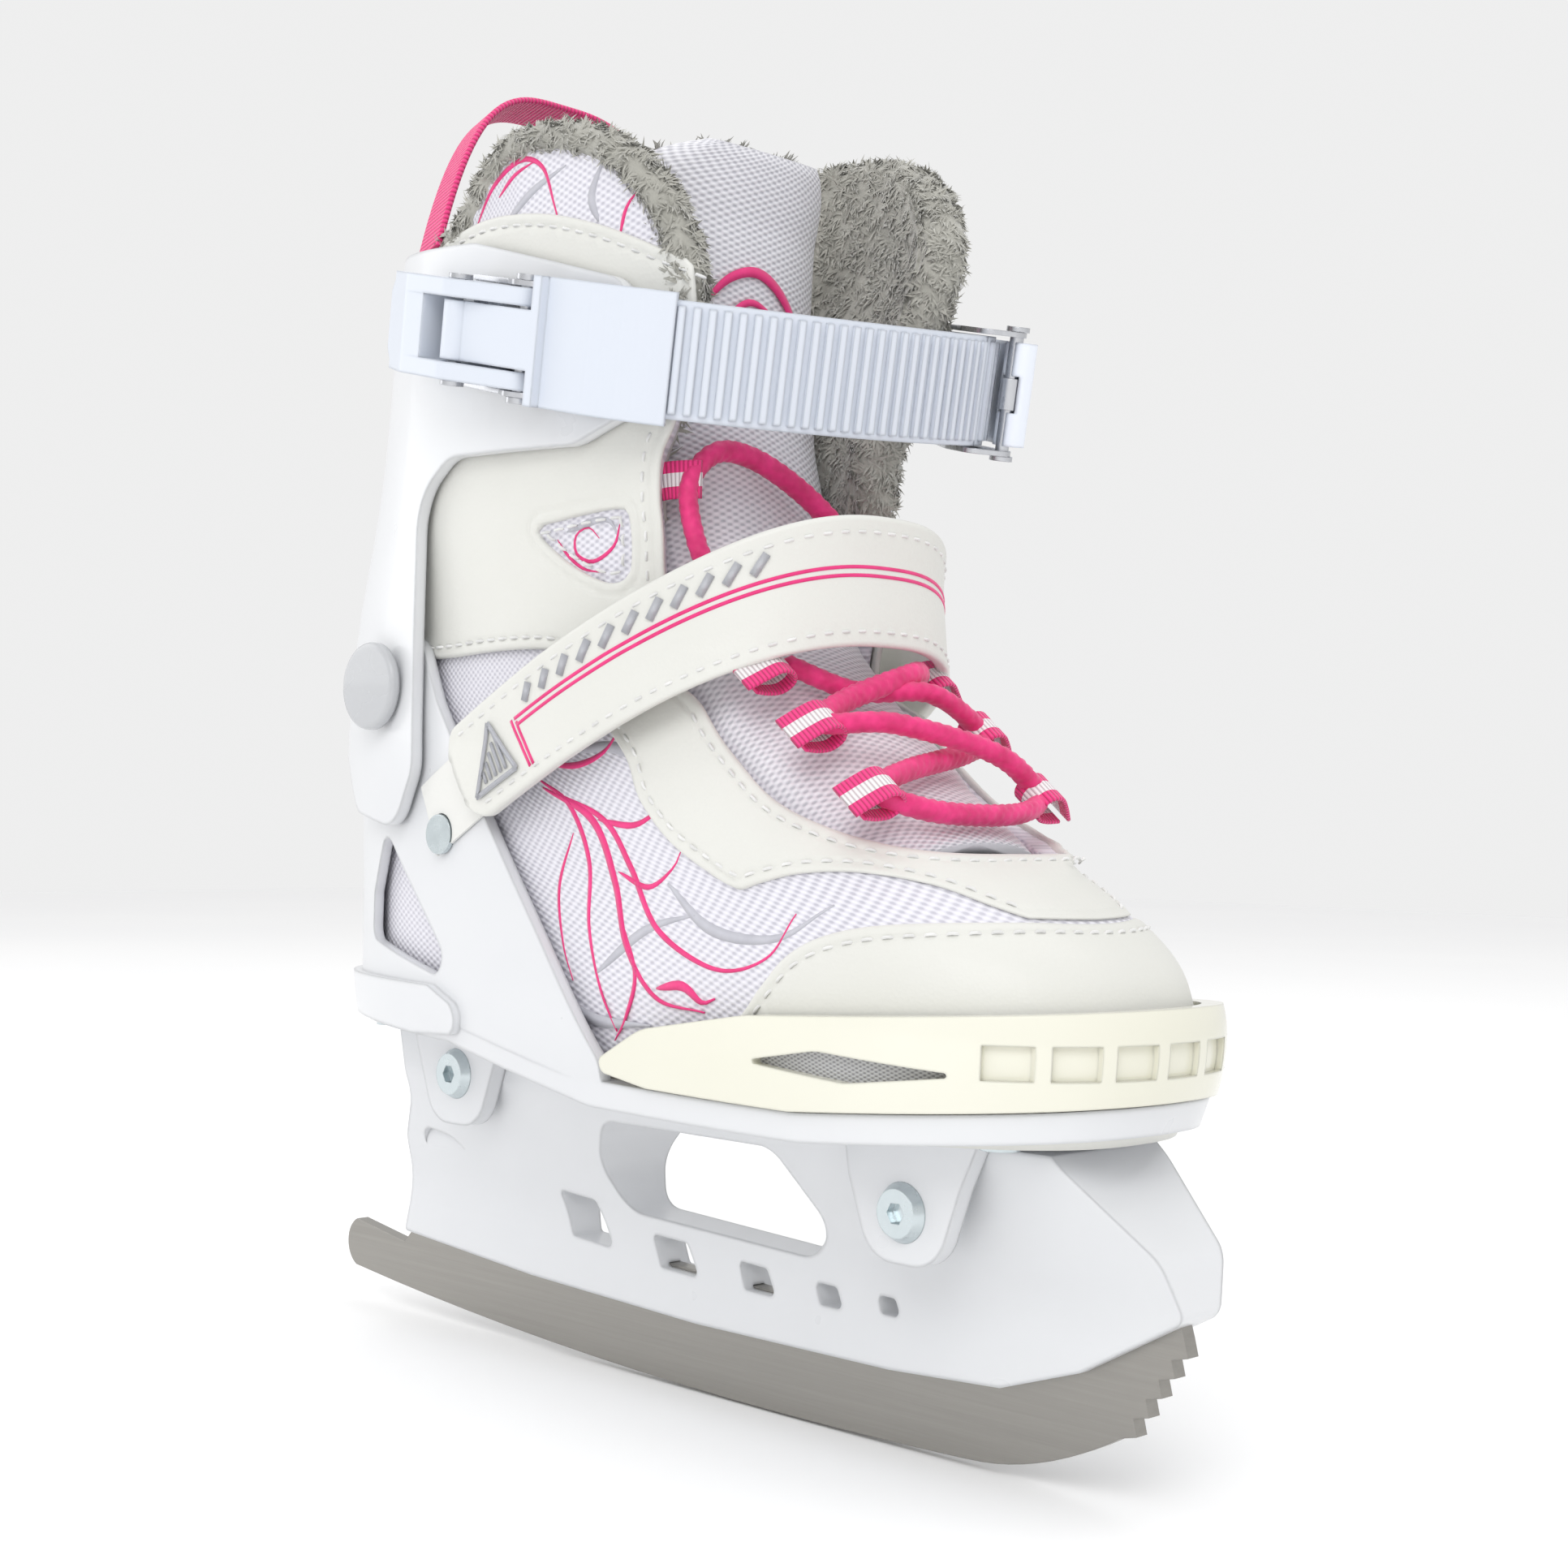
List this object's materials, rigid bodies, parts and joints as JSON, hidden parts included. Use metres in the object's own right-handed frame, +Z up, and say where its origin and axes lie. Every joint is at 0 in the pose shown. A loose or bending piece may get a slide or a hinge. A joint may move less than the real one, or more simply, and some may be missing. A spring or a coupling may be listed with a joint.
{
  "type": "ice skate",
  "caption": "Right soft-boot recreational ice skate: hinged cuff, plush-lined boot, laces, instep strap and ratchet ankle buckle on a steel blade with toe picks.",
  "frame": {"origin": "in the plane of the blade, at the height of the blade's lowest point, below the ankle side of the foot's middle", "axes": "+X towards the toe, +Y towards the inner (medial) side of a right foot, +Z up the leg"},
  "size_m": [0.2781, 0.1234, 0.3097],
  "materials": {
    "steel_blade": "fine lengthwise brushed stainless steel",
    "white_plastic": "white moulded plastic, satin",
    "cream_bumper": "warm white glossy moulded bumper",
    "buckle_plastic": "cool white moulded plastic",
    "clear_plastic": "translucent white plastic",
    "zinc_steel": "zinc plated steel",
    "buckle_steel": "nickel plated steel",
    "silver_cap": "silver plastic cap",
    "board": "fibre lasting board",
    "boot_leather": "smooth white coated leather with stitched edges and printed mesh panels",
    "tongue_mesh": "silver white knitted mesh",
    "plush": "short grey plush",
    "insole_fabric": "grey felt",
    "loop_fabric": "looped strip fabric",
    "grip_print": "raised silver grip",
    "pink_lace": "braided round lace",
    "pink_webbing": "pink webbing with a white middle stripe"
  },
  "bodies": {
    "shell": {"blade": "steel_blade", "blade_holder": "white_plastic", "blade_pins": "buckle_steel", "base_shell": "white_plastic", "sole_screws": "zinc_steel", "cross_bolts": "zinc_steel", "cross_bolt_nuts": "zinc_steel", "toe_bumper": "cream_bumper", "lasting_board": "board", "boot_lower": "boot_leather", "insole": "insole_fabric", "tongue_lower": "tongue_mesh", "pivot_rivets": "buckle_steel", "pivot_caps": "silver_cap", "shell_rivets": "zinc_steel", "instep_strap_wrap": "boot_leather", "under_strap": "loop_fabric", "lace_lower": "pink_lace", "lace_loops": "pink_webbing"},
    "cuff": {"cuff": "white_plastic", "boot_shaft": "boot_leather", "fur_collar": "plush", "tongue_upper": "tongue_mesh", "tongue_fold": "tongue_mesh", "ankle_gusset": "tongue_mesh", "buckle_base": "buckle_steel", "lever_pin": "buckle_steel", "buckle_rivets": "buckle_steel", "ratchet_frame": "buckle_steel", "catch_pin": "buckle_steel", "catch_spring": "buckle_steel", "ladder_strap_end": "buckle_plastic", "lace_upper": "pink_lace", "upper_lace_loops": "pink_webbing", "pull_loop": "pink_webbing"},
    "instep_flap": {"instep_strap_flap": "boot_leather", "strap_grip": "grip_print"},
    "buckle_lever": {"buckle_lever": "buckle_plastic", "carrier_pins": "buckle_steel"},
    "ankle_strap": {"strap_carrier": "buckle_plastic", "ladder_strap": "buckle_plastic"},
    "catch_lever": {"catch_lever": "clear_plastic"}
  },
  "joints": [
    {"name": "ankle_flex", "type": "hinge", "parent": "shell", "child": "cuff", "pos_m": [-0.072, 0, 0.162], "axis": [0, 1, 0], "range_deg": [-3, 8], "deforming": ["ankle_gusset", "tongue_fold"]},
    {"name": "instep_strap_peel", "type": "hinge", "parent": "shell", "child": "instep_flap", "pos_m": [0.01973, -0.0452, 0.16701], "axis": [-0.4617, 0, 0.887], "range_deg": [0, 100]},
    {"name": "buckle_lever_swing", "type": "hinge", "parent": "cuff", "child": "buckle_lever", "pos_m": [-0.00927, -0.0521, 0.23578], "axis": [0.2283, -0.0837, 0.97], "range_deg": [0, 90]},
    {"name": "ankle_strap_swing", "type": "hinge", "parent": "cuff", "child": "ankle_strap", "pos_m": [0.04319, 0.03792, 0.2312], "axis": [0.2283, -0.0837, 0.97], "range_deg": [0, 13]},
    {"name": "catch_lever_press", "type": "hinge", "parent": "cuff", "child": "catch_lever", "pos_m": [0.04669, 0.0463, 0.23111], "axis": [-0.2283, 0.0837, -0.97], "range_deg": [0, 35], "stiffness_Nm_per_rad": 0.05, "deforming": ["catch_spring"]}
  ],
  "couplings": [
    {"joint": "ankle_strap_swing", "follows": "buckle_lever_swing", "ratio": 0.143}
  ]
}
